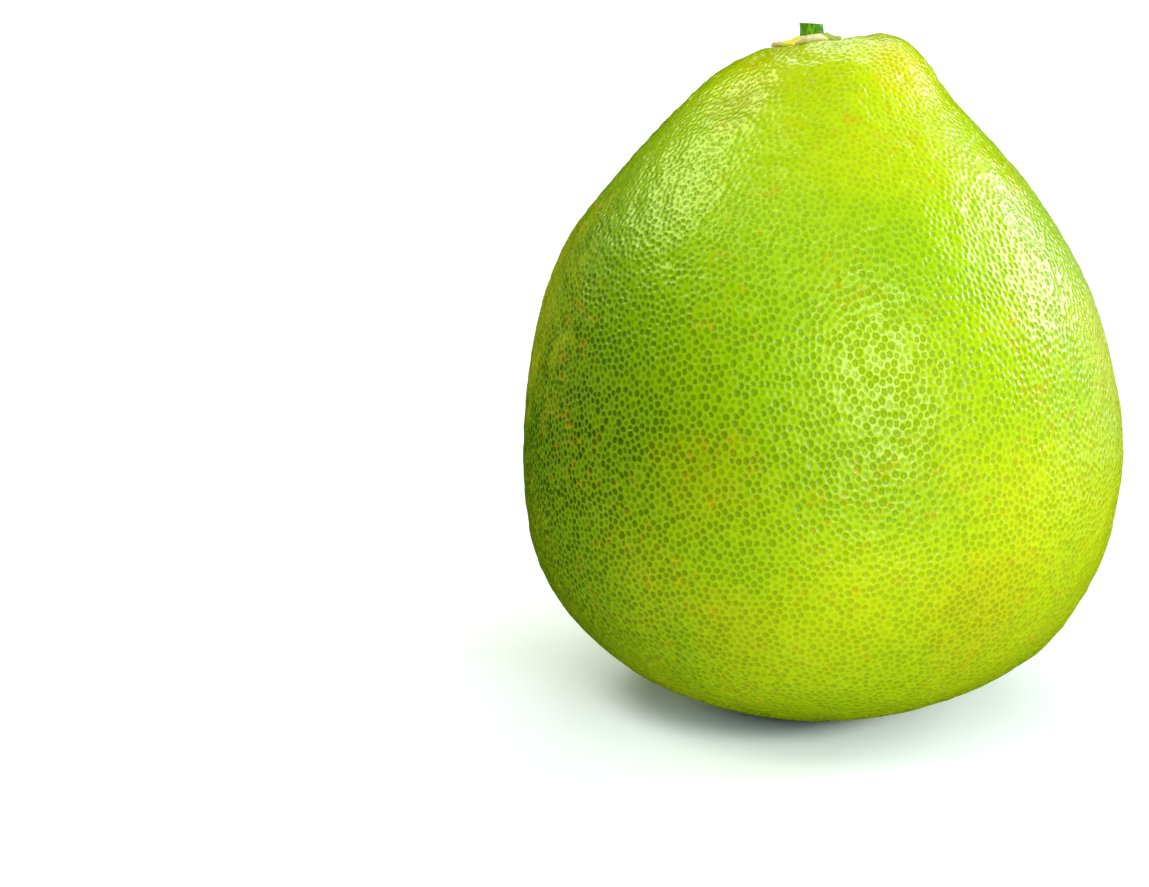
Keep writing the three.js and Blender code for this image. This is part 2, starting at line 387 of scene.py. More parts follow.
def rind_point(place, angle):
    """The point of the smooth rind at a place along the outline and an angle round it."""
    radius, height, sway = np.moveaxis(outline(place), -1, 0)
    up = np.clip(height / CROWN_HEIGHT, 0, 1)
    flutes = sum(rise * np.cos(count * angle + phase) for count, rise, phase in FLUTES)
    flutes = flutes * smooth(FLUTES_FROM, FLUTES_TO, up)
    around = np.stack([radius * np.cos(angle), radius * np.sin(angle), height], -1)
    rough = lumps(around) * smooth(0, LUMPS_FULL, up)
    reach = radius + (flutes + rough) * smooth(CALM_RADIUS, ROUGH_RADIUS, radius)
    x = reach * np.cos(angle)
    y = reach * np.sin(angle)
    crown = smooth(CROWN_STARTS, 1, up)
    z = height + crown * (CROWN_RISE * x - CROWN_FALL * y)
    return np.stack([x + sway, y + LEAN * up * up, np.maximum(z, 0)], -1)


def rind_normal(place, angle, step=0.0015):
    upwards = rind_point(place + step, angle) - rind_point(place - step, angle)
    around = rind_point(place, angle + step) - rind_point(place, angle - step)
    normal = np.cross(around, upwards)
    return normal / np.linalg.norm(normal, axis=-1, keepdims=True)


class Chart:
    """Ways of laying the rind out flat, tabulated along its outline.

    share is the share of the rind's area below a place. stretch is the logarithm of the radius at which a
    place lies in a flat map seen from above. The map keeps angles, so round cells stay round on it.
    """

    def __init__(self, steps=6000):
        self.place = np.linspace(0, 1, steps + 1)
        self.radius, self.height, _ = outline(self.place).T
        self.radius = np.maximum(self.radius, 0.02)
        length = np.hypot(np.diff(self.radius), np.diff(self.height))
        middle = (self.radius[1:] + self.radius[:-1]) / 2
        area = np.concatenate([[0], np.cumsum(middle * length)])
        self.share = area / area[-1]
        self.length = np.concatenate([[0], np.cumsum(length)])
        self.area = 2 * math.pi * area[-1]
        stretch = np.concatenate([[0], np.cumsum(length / middle)])
        self.stretch = stretch[-1] - stretch

    def place_of_share(self, share):
        return np.interp(share, self.share, self.place)

    def radius_at(self, place):
        return np.interp(place, self.place, self.radius)

    def move(self, place, angle, along, around):
        """Places and angles after steps in millimetres along the outline and round the fruit."""
        radius = np.maximum(self.radius_at(place), 1.0)
        length = np.interp(place, self.place, self.length) + along
        length = np.clip(length, 0.01, self.length[-1] - 0.01)
        return np.interp(length, self.length, self.place), angle + around / radius

    def flat(self, place, angle):
        size = np.exp(np.interp(place, self.place, self.stretch))
        return np.stack([size * np.cos(angle), size * np.sin(angle)], -1)

    def back(self, flat):
        """Place and angle of points on the flat map."""
        stretch = np.log(np.maximum(np.hypot(flat[..., 0], flat[..., 1]), 1e-9))
        place = np.interp(-stretch, -self.stretch, self.place)
        return place, np.arctan2(flat[..., 1], flat[..., 0])


def scatter_glands(chart, rng):
    """Place and angle of each gland's middle: an even lattice, scattered, then pushed apart until it is
    even again but has no rows."""
    number = np.arange(GLANDS)
    share = (number + 0.5) / GLANDS
    share += GLAND_GROWTH * share * (1 - share)
    pitch = math.sqrt(chart.area / GLANDS)
    place = chart.place_of_share(share)
    angle = number * GOLDEN_ANGLE
    step = rng.uniform(-1, 1, (GLANDS, 2)) * GLAND_SCATTER * pitch
    for _ in range(SPREAD_STEPS):
        place, angle = chart.move(place, angle, step[:, 0], step[:, 1])
        step = SPREAD_RATE * crowding(place, angle, SPREAD_REACH * pitch)
    keep = (chart.radius_at(place) > SCAR_RADIUS + 0.55 * pitch) | (place > 0.5)
    return place[keep], angle[keep]


def crowding(place, angle, reach):
    """How far each gland is pushed by its neighbours, along the outline and round the fruit."""
    radius, height, _ = outline(place).T
    points = np.stack([radius * np.cos(angle), radius * np.sin(angle), height], -1)
    near = neighbours(points)
    away = points[:, None] - points[near]
    distance = np.maximum(np.linalg.norm(away, axis=-1, keepdims=True), 1e-6)
    push = (away / distance * np.maximum(reach - distance, 0)).sum(axis=1)
    step = 0.0005
    slope = (outline(place + step) - outline(place - step))[:, :2]
    slope /= np.linalg.norm(slope, axis=-1, keepdims=True)
    outward = push[:, 0] * np.cos(angle) + push[:, 1] * np.sin(angle)
    along = outward * slope[:, 0] + push[:, 2] * slope[:, 1]
    around = push[:, 1] * np.cos(angle) - push[:, 0] * np.sin(angle)
    return np.stack([along, around], -1)


def neighbours(points):
    """The numbers of the points nearest to each point."""
    tree = kdtree.KDTree(len(points))
    for i, point in enumerate(points):
        tree.insert(point, i)
    tree.balance()
    found = [tree.find_n(point, NEIGHBOURS + 1) for point in points]
    return np.array([[item[1] for item in items[1:]] for items in found])


def gland_cells(chart, place, angle):
    """Triangles of neighbouring glands, as triples of their numbers, turning left seen from outside."""
    flat = chart.flat(place, angle)
    result = delaunay_2d_cdt([Vector(p) for p in flat], [], [], 0, 1e-7)
    original = [numbers[0] for numbers in result[3]]
    triangles = np.array([[original[corner] for corner in face] for face in result[2]])
    a, b, c = (flat[triangles[:, k]] for k in range(3))
    turn = np.cross(b - a, c - a)
    triangles[turn < 0] = triangles[turn < 0][:, ::-1]
    return flat, triangles


def build_rind_mesh(chart, rng):
    """Place and angle of each point, the faces, and what each face corner stores. The last two numbers say
    how many points are middles of glands, and how many are those or points of the scar's edge."""
    place, angle = scatter_glands(chart, rng)
    inner = len(place)
    scar_place = np.interp(SCAR_RADIUS, PROFILE[:2, 0], [0, 1 / (len(PROFILE) - 1)])
    scar_angle = np.arange(SCAR_SIDES) * 2 * math.pi / SCAR_SIDES
    place = np.concatenate([place, np.full(SCAR_SIDES, scar_place)])
    angle = np.concatenate([angle, scar_angle])
    count = len(place)
    flat, triangles = gland_cells(chart, place, angle)
    net = flat[triangles].mean(axis=1)
    offset = gland_offsets(flat, triangles, net)
    tone = rng.uniform(0, 1, count)
    faces, corners = gland_fans(triangles.tolist(), offset, tone, inner)
    net_place, net_angle = chart.back(net)
    place = np.concatenate([place, net_place])
    angle = np.concatenate([angle, net_angle])
    return place, angle, np.array(faces), np.array(corners), inner, count


def gland_offsets(flat, triangles, net):
    """Where each triangle's net point lies from its three glands, in the mean reach of each gland."""
    offset = net[:, None] - flat[triangles]
    reach = np.zeros(len(flat))
    used = np.zeros(len(flat))
    np.add.at(reach, triangles, np.linalg.norm(offset, axis=-1))
    np.add.at(used, triangles, 1)
    return offset / (reach / np.maximum(used, 1))[triangles][..., None]


def gland_fans(triangles, offset, tone, inner):
    """Faces, and each face corner's gland offset, tone and rim.

    Each gland is a fan of faces round its middle. The fans meet at one point for each three neighbours, and
    these points and the edges between them are the raised net of rind between the glands.
    """
    count = len(tone)
    faces = []
    corners = []
    edge_of = {}
    for t, triangle in enumerate(triangles):
        for k in range(3):
            edge_of[(triangle[k], triangle[(k + 1) % 3])] = (t, k)
    for (a, b), (left, k) in edge_of.items():
        if (b, a) not in edge_of:
            faces.append((a, b, count + left))
            corners.extend([OFF_GLAND] * 3)
            continue
        right, j = edge_of[(b, a)]
        faces.append((a, count + right, count + left))
        if a >= inner:
            corners.extend([OFF_GLAND] * 3)
            continue
        corners.append((0.0, 0.0, tone[a], 0.0))
        corners.append((*offset[right][(j + 1) % 3], tone[a], 1.0))
        corners.append((*offset[left][k], tone[a], 1.0))
    return faces, corners


def scar_mesh(first, boundary):
    """The scar at the blossom end: rings from the boundary points to a sunken middle."""
    points = []
    faces = []
    last = boundary
    number = first
    for i in range(1, SCAR_RINGS):
        share = 1 - i / SCAR_RINGS
        ring = list(range(number, number + SCAR_SIDES))
        for k in range(SCAR_SIDES):
            turn = 2 * math.pi * k / SCAR_SIDES
            radius = SCAR_RADIUS * share
            points.append((radius * math.cos(turn), radius * math.sin(turn), 0.0))
        for k in range(SCAR_SIDES):
            n = (k + 1) % SCAR_SIDES
            faces.append((last[k], ring[n], last[n]))
            faces.append((last[k], ring[k], ring[n]))
        last = ring
        number += SCAR_SIDES
    points.append((0.0, 0.0, 0.0))
    for k in range(SCAR_SIDES):
        faces.append((last[k], number, last[(k + 1) % SCAR_SIDES]))
    return np.array(points), np.array(faces)


def fine_relief(points, place):
    """How far the rind stands out at each point, without its glands."""
    radius, height, _ = np.moveaxis(outline(place), -1, 0)
    up = np.clip(height / CROWN_HEIGHT, 0, 1)
    away = np.linalg.norm(points - HOLLOW_AT, axis=-1) / HOLLOW_REACH
    relief = -HOLLOW_DEPTH * (1 - smooth(0, 1, away))
    relief += SWELL_HEIGHT * grain(points, SWELL_LENGTH)
    relief += RIPPLE_HEIGHT * grain(points, RIPPLE_LENGTH, 7.3)
    relief += RIDGE_HEIGHT * grain(points, RIDGE_LENGTH, 1.9)
    lengths = np.array([CREASE_LENGTH[0], CREASE_LENGTH[0], CREASE_LENGTH[1]])
    creases = 1 - np.abs(grain(points, lengths, 3.1)) * 2
    relief += CREASE_HEIGHT * creases * smooth(CREASES_FROM, CREASES_TO, up)
    return relief * clear_of_ends(points, place, radius, RELIEF_FULL)


def clear_of_ends(points, place, radius, full_radius):
    """0 on the floor and under the calyx, and 1 from the flat margin up to a radius round the stem."""
    from_stem = np.where(place > 0.5, radius, full_radius)
    return smooth(0, FLAT_MARGIN, points[:, 2]) * smooth(SEAT_RADIUS, full_radius, from_stem)


def make_rind(material):
    rng = np.random.default_rng(SEED)
    chart = Chart()
    place, angle, faces, corners, inner, count = build_rind_mesh(chart, rng)
    points = rind_point(place, angle)
    normals = rind_normal(np.clip(place, 0.003, 0.997), angle)
    relief = fine_relief(points, place)
    fade = clear_of_ends(points, place, chart.radius_at(place), GLANDS_FULL)
    pits = np.zeros(len(points))
    pits[:inner] = GLAND_DEPTH * (1 + DEPTH_SCATTER * rng.uniform(-1, 1, inner))
    points = points + (relief - pits * fade)[:, None] * normals

    scar_points, scar_faces = scar_mesh(len(points), list(range(inner, count)))
    points = np.vstack([points, scar_points])
    faces = np.vstack([faces, scar_faces])
    corners = np.vstack([corners, np.tile(OFF_GLAND, (3 * len(scar_faces), 1))])
    lift_navel(points)
    points[:, 2] = np.maximum(points[:, 2], 0)

    rind = mesh_object("rind", points, faces, material)
    set_attribute(rind, "gland", "FLOAT_VECTOR", "CORNER", corners[:, :3])
    set_attribute(rind, "rim", "FLOAT", "CORNER", corners[:, 3])
    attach(rind, "root")
    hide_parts("fruit")


def lift_navel(points):
    """The blossom end is slightly sunken inside the ring that the fruit stands on."""
    radius = np.hypot(points[:, 0], points[:, 1])
    low = points[:, 2] < 2
    lift = NAVEL_DEPTH * (1 - smooth(0.3 * NAVEL_RADIUS, NAVEL_RADIUS, radius))
    dip = SCAR_DEPTH * (1 - smooth(0.35 * SCAR_RADIUS, SCAR_RADIUS, radius))
    points[low, 2] += (lift + dip)[low]


# ---- Material nodes ----

class Nodes:
    """A short way to write a material's nodes."""

    def __init__(self, name):
        self.material = bpy.data.materials.new(name)
        self.material.use_nodes = True
        self.tree = self.material.node_tree
        self.shader = self.tree.nodes["Principled BSDF"]
        self.position = self.make("ShaderNodeTexCoord").outputs["Object"]

    def make(self, kind, **settings):
        node = self.tree.nodes.new(kind)
        for key, value in settings.items():
            setattr(node, key, value)
        return node

    def put(self, socket, value):
        """Links another node's output to a socket, or sets a number or a colour on it."""
        if isinstance(value, bpy.types.NodeSocket):
            self.tree.links.new(value, socket)
        elif socket.type == "RGBA":
            socket.default_value = (*value, 1)
        else:
            socket.default_value = value

    def surface(self, name, value):
        """Sets one of the surface's own qualities."""
        self.put(self.shader.inputs[name], value)

    def axes(self):
        node = self.make("ShaderNodeSeparateXYZ")
        self.put(node.inputs[0], self.position)
        return node.outputs

    def math(self, operation, *values):
        node = self.make("ShaderNodeMath", operation=operation)
        for socket, value in zip(node.inputs, values):
            self.put(socket, value)
        return node.outputs[0]

    def times(self, first, *others):
        for value in others:
            first = self.math("MULTIPLY", first, value)
        return first

    def distance(self, middle):
        """The distance from a point given in millimetres, in metres."""
        node = self.make("ShaderNodeVectorMath", operation="DISTANCE")
        self.put(node.inputs[0], self.position)
        node.inputs[1].default_value = [value * MM for value in middle]
        return node.outputs["Value"]

    def ramp(self, value, start, end, low=0.0, high=1.0):
        node = self.make("ShaderNodeMapRange", interpolation_type="SMOOTHSTEP")
        for socket, item in zip(node.inputs, (value, start, end, low, high)):
            self.put(socket, item)
        return node.outputs[0]

    def rise(self, start_mm, end_mm, low=0.0, high=1.0):
        """From low to high between two heights above the floor."""
        return self.ramp(self.axes()[2], start_mm * MM, end_mm * MM, low, high)

    def noise(self, size_mm, detail=2.0, stretch=(1, 1, 1), offset=0.0, roughness=0.5):
        """Noise from 0 to 1 with bumps of about this size. Each offset gives another noise."""
        mapping = self.make("ShaderNodeMapping")
        self.put(mapping.inputs["Vector"], self.position)
        mapping.inputs["Location"].default_value = (offset, offset, offset)
        mapping.inputs["Scale"].default_value = [1 / s for s in stretch]
        node = self.make("ShaderNodeTexNoise")
        self.put(node.inputs["Vector"], mapping.outputs[0])
        node.inputs["Scale"].default_value = 1 / (size_mm * MM)
        node.inputs["Detail"].default_value = detail
        node.inputs["Roughness"].default_value = roughness
        return node.outputs["Fac"]

    def mix(self, factor, first, second, blend="MIX"):
        node = self.make("ShaderNodeMix", data_type="RGBA", blend_type=blend)
        self.put(node.inputs[0], factor)
        self.put(node.inputs[6], first)
        self.put(node.inputs[7], second)
        return node.outputs[2]

    def shade(self, colour, shade):
        """One colour multiplied by another."""
        return self.mix(1.0, colour, shade, "MULTIPLY")

    def attribute(self, name, output):
        return self.make("ShaderNodeAttribute", attribute_name=name).outputs[output]

    def bump(self, height, distance_mm, normal=None):
        node = self.make("ShaderNodeBump")
        node.inputs["Distance"].default_value = distance_mm * MM
        node.inputs["Strength"].default_value = 1.0
        self.put(node.inputs["Height"], height)
        if normal is not None:
            self.put(node.inputs["Normal"], normal)
        return node.outputs[0]


def gland_distance(nodes):
    """How far a point lies from its gland's middle, 1 at the gland's rim, and the gland's random tone."""
    parts = nodes.make("ShaderNodeSeparateXYZ")
    nodes.put(parts.inputs[0], nodes.attribute("gland", "Vector"))
    x, y, tone = parts.outputs
    square = nodes.math("MULTIPLY_ADD", x, x, nodes.math("MULTIPLY", y, y))
    return nodes.math("SQRT", square), tone


def ripeness(nodes):
    """0 where the rind is deep green, and 1 where it is yellow-green: on the right, low down and on the
    crown."""
    x, _, z = nodes.axes()
    ends = nodes.math("ABSOLUTE", nodes.math("SUBTRACT", z, GREENEST_HEIGHT * MM))
    value = nodes.math("MULTIPLY_ADD", ends, RIPENING_UP, nodes.math("MULTIPLY", x, RIPENING_RIGHT))
    value = nodes.math("ADD", value, nodes.rise(*CROWN_HEIGHTS, 0.0, CROWN_RIPENESS))
    patches = nodes.noise(RIPE_PATCH_SIZE, detail=3, offset=0.4)
    return nodes.ramp(nodes.math("MULTIPLY_ADD", patches, RIPE_PATCHES, value), 0.35, 1.35)


def clear_of_painted_shade(nodes):
    """0 at the middle of the painted shade on the left side, and 1 elsewhere."""
    x, _, z = nodes.axes()
    ends = nodes.math("ABSOLUTE", nodes.math("SUBTRACT", z, SHADE_HEIGHT * MM))
    return nodes.ramp(nodes.math("MULTIPLY_ADD", ends, 0.6, x), -70 * MM, 30 * MM)


def freckles(nodes, tone):
    """Soft orange marks, in a few zones, mostly on glands of one tone."""
    spots = nodes.ramp(nodes.noise(FRECKLE_SIZE, detail=2, offset=2.2, roughness=0.6), 0.48, 0.72)
    zones = nodes.ramp(nodes.noise(FRECKLE_ZONE_SIZE, detail=1, offset=5.1), 0.42, 0.60)
    marked = nodes.ramp(tone, 0.4, 0.7, 0.3, 1.0)
    return nodes.times(spots, zones, marked, FRECKLE_SHARE)


def patch(nodes, middle, radius):
    """1 at a point on the rind and 0 beyond about the radius from it, with an uneven edge."""
    wander = nodes.noise(7, detail=2, offset=1.7)
    uneven = nodes.math("MULTIPLY_ADD", wander, -1.2 * radius * MM, nodes.distance(middle))
    return nodes.ramp(uneven, -0.3 * radius * MM, 0.5 * radius * MM, 1.0, 0.0)


def gland_bowl(nodes, away, rim, tone):
    """The height of the rind in a gland: 0 on the broad round net and about -1 in the pit."""
    edge = nodes.math("ADD", nodes.math("MULTIPLY", away, 0.6), nodes.math("MULTIPLY", rim, 0.4))
    edge = nodes.math("MULTIPLY", edge, nodes.ramp(tone, 0.0, 1.0, 1.2, 0.98))
    curve = nodes.make("ShaderNodeValToRGB")
    curve.color_ramp.interpolation = "B_SPLINE"
    for k, (at, value) in enumerate(BOWL):
        stop = curve.color_ramp.elements[0] if k == 0 else curve.color_ramp.elements.new(at)
        stop.position = at
        stop.color = (value, value, value, 1)
    curve.color_ramp.elements.remove(curve.color_ramp.elements[len(BOWL)])
    nodes.put(curve.inputs[0], edge)
    depth = nodes.math("SUBTRACT", curve.outputs[0], 1.0)
    return nodes.math("MULTIPLY", depth, nodes.ramp(tone, 0.0, 1.0, 0.6, 1.4))


def gland_dot(nodes, away, rim, tone):
    """1 in the dark dot over a gland and 0 on the net. The dots are as angular as the glands' cells, a
    little lighter in the middle, unlike from gland to gland and paler on the crown."""
    edge = nodes.math("ADD", nodes.math("MULTIPLY", away, 0.35), nodes.math("MULTIPLY", rim, 0.65))
    edge = nodes.math("MULTIPLY", edge, nodes.ramp(tone, 0.0, 1.0, 1.14, 0.95))
    edge = nodes.math("MULTIPLY_ADD", nodes.noise(DOT_NOISE_SIZE), 0.4, nodes.math("SUBTRACT", edge, 0.2))
    middle = nodes.ramp(edge, 0.1, 0.55, 0.82, 1.0)
    inside = nodes.ramp(edge, 0.40, 0.95, 1.0, 0.0)
    strength = nodes.ramp(tone, 0.0, 0.6, 0.5, 1.0)
    return nodes.times(inside, middle, strength, nodes.rise(*DOT_HEIGHTS, 1.0, CROWN_DOT))


def rind_colour(nodes, dot, tone):
    """The net and the glands in it have their own colours. Painted shade darkens the left side, the glands
    more than the net, and darkens the rind towards the floor.
    """
    ripe = ripeness(nodes)
    unshaded = clear_of_painted_shade(nodes)
    net = nodes.mix(ripe, GREEN_NET, RIPE_NET)
    # Painted shade: the net and the glands darken on the left side
    net = nodes.mix(unshaded, nodes.shade(net, NET_SHADE), net)
    gland = nodes.mix(ripe, GREEN_GLAND, RIPE_GLAND)
    gland = nodes.mix(unshaded, nodes.shade(gland, GLAND_SHADE), gland)
    for middle, radius, tint, share in PATCHES:
        blend = nodes.math("MULTIPLY", patch(nodes, middle, radius), share)
        net = nodes.mix(blend, net, tint)
        gland = nodes.mix(blend, gland, [value * part for value, part in zip(tint, PATCH_GLAND)])
    colour = nodes.mix(dot, net, gland)
    # Painted shade towards the floor
    low = nodes.rise(0, LOW_SHADE_HEIGHT, 1.0, 0.0)
    colour = nodes.mix(low, colour, nodes.shade(colour, LOW_SHADE))
    return nodes.mix(freckles(nodes, tone), colour, FRECKLE)


def rind_normal_map(nodes, away, rim, tone):
    """The relief that only the shading shows: glands, streaks, pebbles and grain."""
    bowl = gland_bowl(nodes, away, rim, tone)
    normal = nodes.bump(nodes.times(bowl, nodes.rise(*BOWL_HEIGHTS, 1.0, CROWN_BOWL)), GLAND_BUMP)
    streaks = nodes.noise(STREAK_SIZE, detail=1, stretch=STREAK_STRETCH, offset=8.1)
    normal = nodes.bump(nodes.times(streaks, nodes.rise(*STREAK_HEIGHTS)), STREAK_BUMP, normal)
    pebbles = nodes.noise(PEBBLE_SIZE, detail=1, offset=6.4)
    pebbles = nodes.times(pebbles, nodes.rise(*STREAK_HEIGHTS, 1.0, CROWN_PEBBLES))
    normal = nodes.bump(pebbles, PEBBLE_BUMP, normal)
    return nodes.bump(nodes.noise(GRAIN_SIZE, detail=2), GRAIN_BUMP, normal)


def rind_material():
    """A waxy rind, less glossy low down and in its glands."""
    nodes = Nodes("rind")
    away, tone = gland_distance(nodes)
    rim = nodes.attribute("rim", "Fac")
    dot = gland_dot(nodes, away, rim, tone)
    nodes.surface("Base Color", rind_colour(nodes, dot, tone))
    uneven = nodes.noise(RIND_ROUGHNESS_SIZE, detail=2, offset=3.3)
    rough = nodes.ramp(uneven, 0.3, 0.7, *RIND_ROUGHNESS)
    nodes.surface("Roughness", nodes.math("MULTIPLY_ADD", dot, DOT_ROUGHNESS, rough))
    gloss = nodes.rise(*GLOSS_HEIGHTS, *GLOSS_LEVELS)
    gloss = nodes.times(gloss, nodes.ramp(dot, 0.2, 1.0, 1.0, DOT_GLOSS))
    nodes.surface("Specular IOR Level", gloss)
    nodes.surface("Specular Tint", RIND_GLOSS_TINT)
    nodes.surface("IOR", RIND_IOR)
    nodes.surface("Coat Weight", nodes.ramp(dot, 0.1, 1.0, NET_COAT, DOT_COAT))
    nodes.surface("Coat Roughness", COAT_ROUGHNESS)
    normal = rind_normal_map(nodes, away, rim, tone)
    nodes.surface("Normal", normal)
    nodes.surface("Coat Normal", normal)
    return nodes.material


def calyx_material():
    """Dry and matt, mottled, worn along its edge and cracked."""
    nodes = Nodes("calyx")
    rim = nodes.attribute("rim", "Fac")
    tint = nodes.attribute("tint", "Color")
    mottle = nodes.mix(nodes.noise(1.3, detail=4), (0.82, 0.78, 0.70), (1.12, 1.12, 1.1))
    colour = nodes.shade(tint, mottle)
    edge = nodes.mix(nodes.noise(0.9, detail=3, offset=1.0), PALE_EDGE, BROWN_EDGE)
    worn = nodes.times(nodes.ramp(rim, 0.80, 0.98), nodes.attribute("tint", "Alpha"))
    colour = nodes.mix(worn, colour, edge)
    cracks = nodes.ramp(nodes.noise(0.8, detail=3, offset=4.0), 0.30, 0.42, 0.6, 0.0)
    nodes.surface("Base Color", nodes.mix(cracks, colour, CRACK))
    nodes.surface("Roughness", nodes.ramp(nodes.noise(1.2), 0.3, 0.7, 0.55, 0.8))
    nodes.surface("Normal", nodes.bump(nodes.noise(0.5, detail=4), 0.15))
    return nodes.material


def stem_material():
    """Streaked bark, and pale wood on the cut."""
    nodes = Nodes("stem")
    cut = nodes.attribute("cut", "Fac")
    streaks = nodes.noise(0.5, detail=3, stretch=(1, 1, 6))
    bark = nodes.mix(nodes.ramp(streaks, 0.35, 0.65), DARK_BARK, PALE_BARK)
    wood = nodes.mix(nodes.noise(0.5, detail=3), DARK_WOOD, PALE_WOOD)
    nodes.surface("Base Color", nodes.mix(nodes.ramp(cut, 0.4, 0.6), bark, wood))
    nodes.surface("Roughness", nodes.ramp(cut, 0.3, 0.7, 0.45, 0.8))
    nodes.surface("Specular Tint", BARK_GLOSS_TINT)
    nodes.surface("Normal", nodes.bump(streaks, 0.12))
    return nodes.material


# ---- Calyx and stem ----

def seat():
    """The middle of the seat on the crown, and the turn that stands a piece square on it."""
    normal = Vector((-CROWN_RISE, CROWN_FALL, 1)).normalized()
    middle = Vector(rind_point(np.array([1.0]), np.array([0.0]))[0])
    return middle + GAP * normal, Vector((0, 0, 1)).rotation_difference(normal)


def on_seat(points, height=0.0):
    middle, turn = seat()
    return np.array([tuple(middle + turn @ (Vector(p) + Vector((0, 0, height)))) for p in points])


def calyx_edge(angle):
    """1 at a lobe's tip and 0 in a notch, and the lobe's number."""
    turned = angle + CALYX_TURN
    lobe = abs(math.cos(CALYX_LOBES * turned / 2)) ** LOBE_BLUNTNESS
    number = int((turned / (2 * math.pi) * CALYX_LOBES + 0.5) % CALYX_LOBES)
    return lobe, number


def calyx_radius(angle, lobe, share):
    """The radius at a share of the way out to the calyx's uneven, ragged edge."""
    uneven = 1 + sum(rise * math.cos(n * angle + phase) for n, rise, phase in CALYX_UNEVEN)
    ragged = 0.35 * noise.noise(Vector((3 * math.cos(angle), 3 * math.sin(angle), 0.5)))
    ragged += 0.2 * noise.noise(Vector((9 * math.cos(angle), 9 * math.sin(angle), 1.5)))
    reach = (CALYX_TIP_RADIUS + NOTCH_LENGTH * (lobe - 1)) * uneven + ragged * share
    return share * (CALYX_DISK_RADIUS * (1 - share) + reach * share)


def calyx_underside(share, lobe, curl, x, y):
    """The height of the underside, which follows the lobes' curl. It is given what calyx_top is given."""
    return 0.4 * curl * share ** 3 - 0.1


def calyx_rim(share, lobe, curl, x, y):
    """The height of the outermost edge, between the underside and the top."""
    return 0.3 + 0.75 * curl


def calyx_top(share, lobe, curl, x, y):
    """A dome that thins towards curled lobes, with folds, and a collar round the stem."""
    edge = LOBE_THICKNESS + curl * share ** 3 - NOTCH_DEPTH * (1 - lobe)
    blend = float(smooth(0.45, 1, share))
    level = CALYX_THICKNESS * (1 - blend) + edge * blend
    folds = 0.35 * noise.noise(Vector((x, y, 2.0)) / 1.7)
    folds += 0.15 * noise.noise(Vector((x, y, 5.0)) / 0.7)
    collar = 0.5 * math.exp(-((math.hypot(x, y) - STEM_FOOT_RADIUS - 0.5) / 0.6) ** 2)
    return level + folds * float(smooth(0.3, 0.6, share)) + collar


def calyx_ring(share, height_at):
    """Each point of one ring, with the ring's share of the way out and the tint there."""
    ring = []
    for i in range(CALYX_STEPS):
        angle = 2 * math.pi * i / CALYX_STEPS
        lobe, number = calyx_edge(angle)
        radius = calyx_radius(angle, lobe, share)
        x = radius * math.cos(angle)
        y = radius * math.sin(angle)
        height = height_at(share, lobe, LOBE_CURLS[number] * lobe, x, y)
        tip = float(smooth(TIP_FROM, TIP_TO, -x))
        tint = [(1 - tip) * value + tip * brown for value, brown in zip(LOBE_TINTS[number], TIP_TINT)]
        ring.append(((x, y, height), share, tint))
    return ring


def make_calyx(material):
    rings = [calyx_ring(share, calyx_underside) for share in UNDERSIDE_SHARES]
    rings.append(calyx_ring(1.0, calyx_rim))
    for i in range(CALYX_RINGS, 0, -1):
        rings.append(calyx_ring(0.985 * i / CALYX_RINGS, calyx_top))
    middles = [((0, 0, height), 0, LOBE_TINTS[3]) for height in (-0.25, CALYX_THICKNESS)]
    points, rim, tint = zip(*sum(rings, []), *middles)
    faces = ring_faces(len(rings), CALYX_STEPS)
    calyx = mesh_object("calyx_detail", on_seat(points), faces, material)
    set_attribute(calyx, "rim", "FLOAT", "POINT", rim)
    set_attribute(calyx, "tint", "FLOAT_COLOR", "POINT", tint)
    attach(calyx, "root")
    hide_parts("calyx")


def stem_ring(radius, height, rough, is_cut=False):
    """The points of one ring. rough is the share of the ribs and knots that shows."""
    ring = []
    for i in range(STEM_SIDES):
        angle = 2 * math.pi * i / STEM_SIDES
        ribs = 0.08 * math.cos(7 * angle + 1) + 0.05 * math.cos(11 * angle + 2)
        knots = 0.12 * noise.noise(Vector((math.cos(angle), math.sin(angle), height / 2)) * 1.5)
        reach = radius * (1 + (ribs + knots) * rough / STEM_RADIUS)
        x = reach * math.cos(angle)
        y = reach * math.sin(angle)
        level = (1 - CUT_SLOPE * x / STEM_LENGTH) * height
        if is_cut:
            level += 0.07 * noise.noise(Vector((x, y, 0)) / 0.5)
        ring.append((x + STEM_LEAN[0] * height, y + STEM_LEAN[1] * height, level))
    return ring


def stem_side():
    """The rings of the bark, from the sunken foot up to the rounded edge of the cut."""
    rings = []
    for i in range(STEM_RINGS + 1):
        share = i / STEM_RINGS
        flare = (STEM_FOOT_RADIUS - STEM_RADIUS) * math.exp(-share * 7)
        height = share * (STEM_LENGTH - CUT_BEVEL) - STEM_SINK * (1 - share)
        rings.append(stem_ring(STEM_RADIUS + flare, height, 1.0))
    rings.append(stem_ring(0.97 * STEM_RADIUS, STEM_LENGTH - 0.02, 1.0))
    rings.append(stem_ring(0.93 * STEM_RADIUS, STEM_LENGTH, 0.9))
    return rings


def stem_cut():
    """The rings of the cut, which is a little sunken between its edge and its middle."""
    rings = []
    for share in CUT_SHARES:
        dip = 0.12 * float(smooth(0.9, 0.7, share)) - 0.1 * float(smooth(0.25, 0.0, share))
        rings.append(stem_ring(STEM_RADIUS * share, STEM_LENGTH - dip, share, is_cut=True))
    return rings


